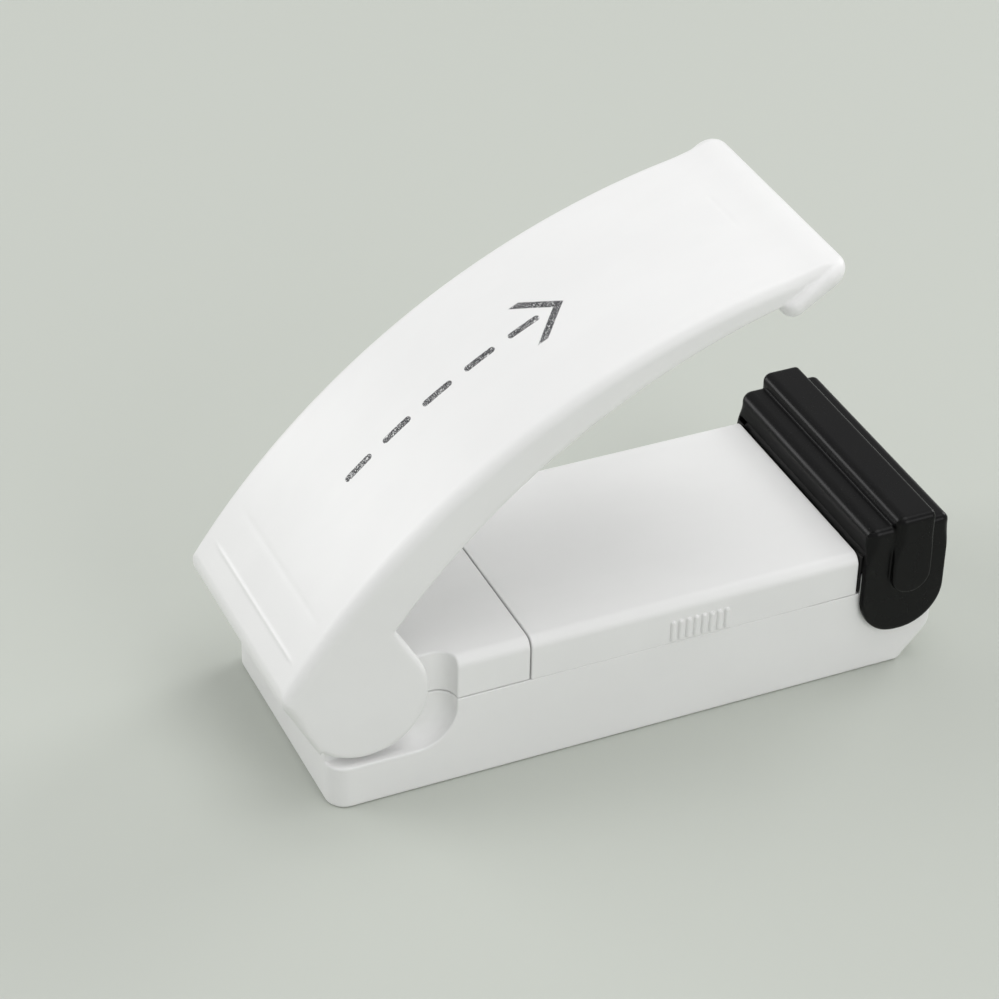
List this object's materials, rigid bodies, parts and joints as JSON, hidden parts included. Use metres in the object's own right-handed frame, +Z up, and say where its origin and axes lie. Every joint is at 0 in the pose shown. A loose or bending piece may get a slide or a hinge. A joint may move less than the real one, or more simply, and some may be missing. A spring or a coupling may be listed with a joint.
{
  "type": "handheld bag sealer",
  "caption": "Pocket heat sealer for plastic bags: arched press lever hinged over a battery base, with a flip-off black cap on the sealing head.",
  "frame": {"origin": "middle of the flat underside of the base, on the table", "axes": "+X from the hinge towards the sealing head, +Y across the base, +Z up"},
  "size_m": [0.0881, 0.0366, 0.0619],
  "materials": {
    "white_shell": "satin moulded white",
    "black_cap": "semi-gloss moulded black",
    "heatproof_black": "matt heat-proof moulding",
    "silicone": "matt silicone",
    "steel": "zinc plated",
    "spring_wire": "drawn spring wire",
    "plated_contact": "nickel plated sheet",
    "brass": "plain brass",
    "insulator": "unglazed",
    "ribbon": "dark resistance ribbon",
    "tape": "coated glass cloth",
    "cell_wrap": "shrink wrap",
    "lead_black": "wire insulation",
    "lead_red": "wire insulation"
  },
  "bodies": {
    "base": {"lower_shell": "white_shell", "rear_cover": "white_shell", "hinge_pin": "steel", "return_spring": "spring_wire", "cap_pins": "steel", "head_block": "heatproof_black", "heater_bar": "insulator", "heater_ribbon": "ribbon", "release_tape": "tape", "heater_posts": "brass", "post_nuts": "steel", "cell_left": "cell_wrap", "cell_right": "cell_wrap", "bridge_plate": "plated_contact", "bridge_spring": "spring_wire", "positive_plate": "plated_contact", "negative_plate": "plated_contact", "negative_spring": "spring_wire", "switch_leaf": "brass", "switch_contact": "brass", "lead_black": "lead_black", "lead_red": "lead_red", "lead_jumper": "lead_red", "case_screws": "steel"},
    "lever": {"press_lever": "white_shell", "pressure_pad": "silicone"},
    "cap": {"safety_cap": "black_cap"},
    "cover": {"battery_cover": "white_shell"}
  },
  "joints": [
    {"name": "lever_hinge", "type": "hinge", "parent": "base", "child": "lever", "pos_m": [-0.0362, 0, 0.0147], "axis": [0, 1, 0], "range_deg": [0, 29.7], "stiffness_Nm_per_rad": 0.05, "springref_deg": -20.05, "deforming": ["return_spring", "switch_leaf"]},
    {"name": "cap_hinge", "type": "hinge", "parent": "base", "child": "cap", "pos_m": [0.03565, 0, 0.012], "axis": [0, 1, 0], "range_deg": [0, 130]},
    {"name": "battery_cover_lift", "type": "slide", "parent": "base", "child": "cover", "axis": [0, 0, 1], "range_m": [0, 0.0065]}
  ]
}
